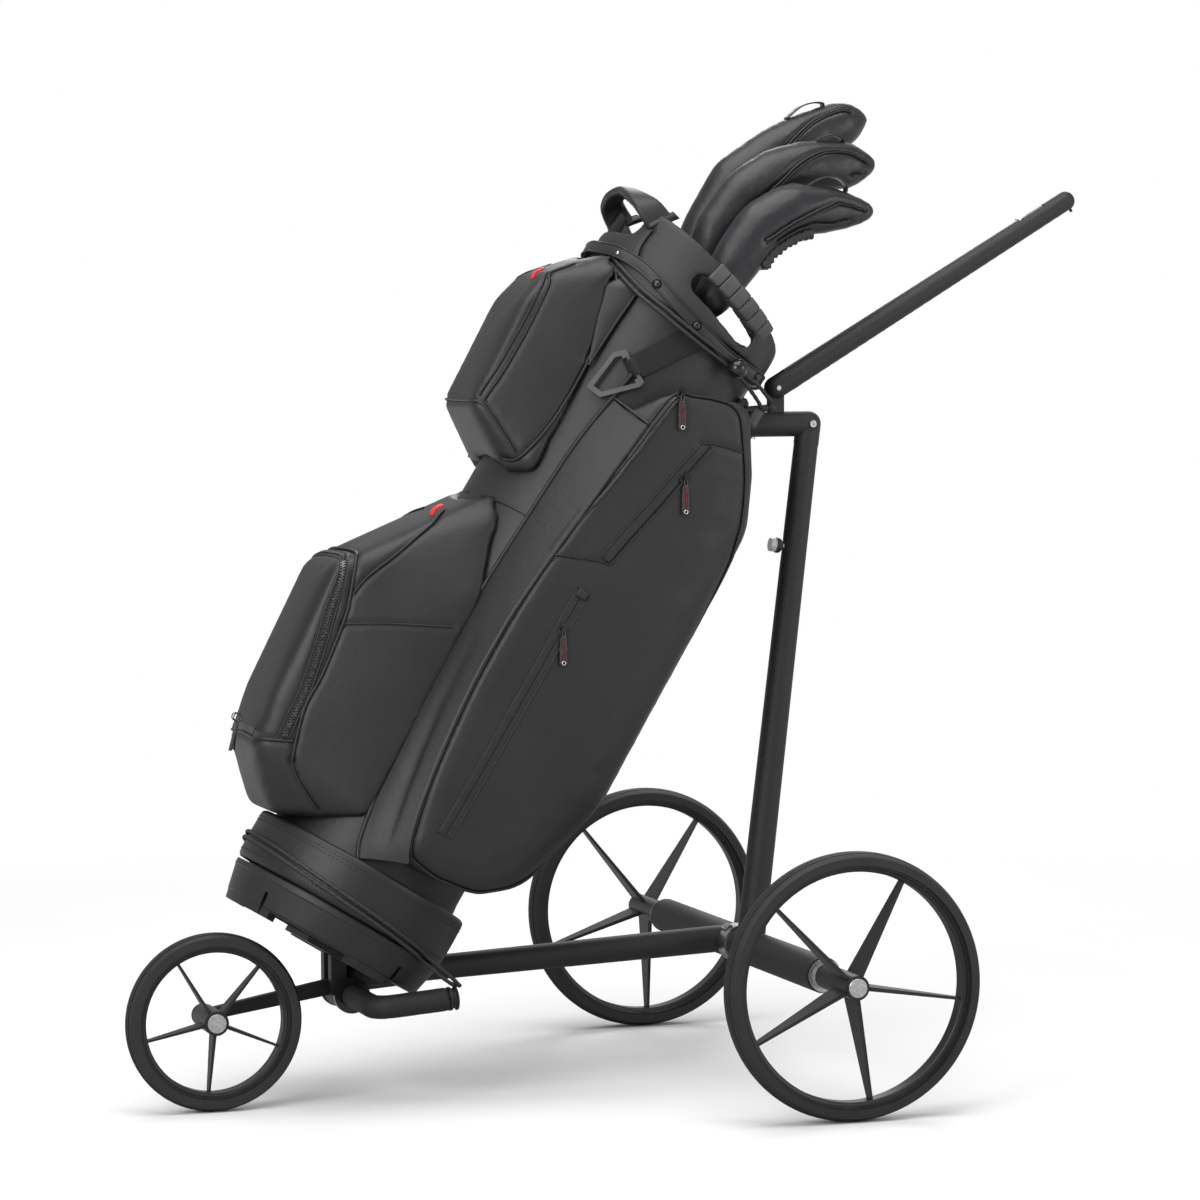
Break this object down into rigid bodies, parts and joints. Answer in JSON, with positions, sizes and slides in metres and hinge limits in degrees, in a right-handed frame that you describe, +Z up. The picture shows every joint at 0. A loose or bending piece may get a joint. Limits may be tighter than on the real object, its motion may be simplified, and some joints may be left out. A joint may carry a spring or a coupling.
{
  "type": "golf bag on push cart",
  "caption": "Three-wheel push cart with a folding handle, carrying a strapped-on leather cart bag with pockets and clubs under curved head covers.",
  "frame": {"origin": "on the ground, under the middle of the outline box", "axes": "+X to the rear, the handle side; -Y the near side with the zips; +Z up"},
  "size_m": [1.1666, 0.7392, 1.1489],
  "materials": {
    "tube": "fine textured satin black",
    "steel": "brushed",
    "tyre": "matt",
    "rim": "satin black",
    "plastic": "satin black",
    "gloss": "gloss black",
    "foam": "matt foam",
    "rubber": "matt",
    "leather": "smooth satin",
    "base": "satin black",
    "webbing": "woven",
    "cord": "braided elastic",
    "shaft": "polished",
    "pull": "dark leather",
    "lever": "satin"
  },
  "bodies": {
    "frame": {"axle_tube_near": "tube", "axle_tube_far": "tube", "axle_ring": "steel", "axle_ends": "steel", "keel_tube": "tube", "keel_clamp": "plastic", "front_arm": "tube", "front_axle": "steel", "upright": "tube", "lock_collar": "plastic", "head_tube": "tube", "frame_screws": "steel", "cradle_tube": "tube", "cradle_foam": "foam", "cradle_rings": "gloss", "cradle_caps": "plastic", "base_rest": "plastic", "lower_cord": "cord", "bag_bracket": "plastic", "bracket_pad": "rubber", "upper_cord": "cord", "cord_toggle": "gloss", "bracket_ball": "gloss", "handle_pin": "steel", "bag_shell": "leather", "bag_base": "base", "bag_collar": "leather", "bag_dividers": "plastic", "carry_handle": "plastic", "upper_pocket": "leather", "lower_pocket": "leather", "side_pocket_near": "leather", "side_pocket_far": "leather", "towel_strap": "webbing"},
    "near_wheel": {"near_tyre": "tyre", "near_rim": "rim"},
    "near_release": {"near_button": "steel"},
    "far_wheel": {"far_tyre": "tyre", "far_rim": "rim"},
    "far_release": {"far_button": "steel"},
    "front_wheel": {"front_tyre": "tyre", "front_rim": "rim"},
    "front_release": {"front_button": "steel"},
    "handle": {"handle_tube": "tube", "handle_cap": "plastic"},
    "lever": {"handle_lever": "lever"},
    "knob": {"lock_knob": "steel"},
    "ring": {"towel_ring": "plastic"},
    "club_one": {"club_one": "shaft", "cover_one": "leather"},
    "club_two": {"club_two": "shaft", "cover_two": "leather"},
    "club_three": {"club_three": "shaft", "cover_three": "leather"},
    "slider_top": {"slider_top": "steel"},
    "slider_middle": {"slider_middle": "steel"},
    "slider_low": {"slider_low": "steel"},
    "pull_top": {"pull_top": "pull"},
    "pull_middle": {"pull_middle": "pull"},
    "pull_low": {"pull_low": "pull"}
  },
  "joints": [
    {"name": "near_wheel_spin", "type": "hinge", "parent": "frame", "child": "near_wheel", "pos_m": [0.16769, -0.352, 0.15], "axis": [0, -1, 0], "continuous": true},
    {"name": "far_wheel_spin", "type": "hinge", "parent": "frame", "child": "far_wheel", "pos_m": [0.16769, 0.352, 0.15], "axis": [0, -1, 0], "continuous": true},
    {"name": "front_wheel_spin", "type": "hinge", "parent": "frame", "child": "front_wheel", "pos_m": [-0.48231, -0.047, 0.101], "axis": [0, -1, 0], "continuous": true},
    {"name": "near_release_press", "type": "slide", "parent": "near_wheel", "child": "near_release", "axis": [0, 1, 0], "range_m": [0, 0.003], "stiffness_N_per_m": 900, "springref_m": -0.001},
    {"name": "far_release_press", "type": "slide", "parent": "far_wheel", "child": "far_release", "axis": [0, -1, 0], "range_m": [0, 0.003], "stiffness_N_per_m": 900, "springref_m": -0.001},
    {"name": "front_release_press", "type": "slide", "parent": "front_wheel", "child": "front_release", "axis": [0, 1, 0], "range_m": [0, 0.003], "stiffness_N_per_m": 900, "springref_m": -0.001},
    {"name": "handle_tilt", "type": "hinge", "parent": "frame", "child": "handle", "pos_m": [0.20169, -0.03, 0.8064], "axis": [0, -1, 0], "range_deg": [-34, 16]},
    {"name": "lever_press", "type": "hinge", "parent": "handle", "child": "lever", "pos_m": [0.51051, -0.03, 1.00321], "axis": [0, -1, 0], "range_deg": [-3, 0], "stiffness_Nm_per_rad": 0.6},
    {"name": "lock_knob_pull", "type": "slide", "parent": "frame", "child": "knob", "axis": [-0.9926, 0, 0.1212], "range_m": [0, 0.005], "stiffness_N_per_m": 400, "springref_m": -0.001},
    {"name": "towel_ring_swing", "type": "hinge", "parent": "frame", "child": "ring", "pos_m": [-0.00174, -0.11138, 0.83232], "axis": [-0.3596, 0.3676, 0.8576], "range_deg": [0, 100]},
    {"name": "club_one_lift", "type": "slide", "parent": "frame", "child": "club_one", "axis": [0.521, 0, 0.8536], "range_m": [0, 0.9]},
    {"name": "club_two_lift", "type": "slide", "parent": "frame", "child": "club_two", "axis": [0.521, 0, 0.8536], "range_m": [0, 0.9]},
    {"name": "club_three_lift", "type": "slide", "parent": "frame", "child": "club_three", "axis": [0.521, 0, 0.8536], "range_m": [0, 0.9]},
    {"name": "slider_top_run", "type": "slide", "parent": "frame", "child": "slider_top", "axis": [-0.521, 0, -0.8536], "range_m": [0, 0.19]},
    {"name": "pull_top_swing", "type": "hinge", "parent": "slider_top", "child": "pull_top", "pos_m": [0.0419, -0.1503, 0.80275], "axis": [0, -1, 0], "range_deg": [-70, 70]},
    {"name": "slider_middle_run", "type": "slide", "parent": "frame", "child": "slider_middle", "axis": [-0.6743, 0, -0.7385], "range_m": [-0.04, 0.115]},
    {"name": "pull_middle_swing", "type": "hinge", "parent": "slider_middle", "child": "pull_middle", "pos_m": [0.04546, -0.1503, 0.70686], "axis": [0, -1, 0], "range_deg": [-70, 70]},
    {"name": "slider_low_run", "type": "slide", "parent": "frame", "child": "slider_low", "axis": [-0.521, 0, -0.8536], "range_m": [-0.028, 0.25]},
    {"name": "pull_low_swing", "type": "hinge", "parent": "slider_low", "child": "pull_low", "pos_m": [-0.10108, -0.1503, 0.53973], "axis": [0, -1, 0], "range_deg": [-70, 70]}
  ]
}
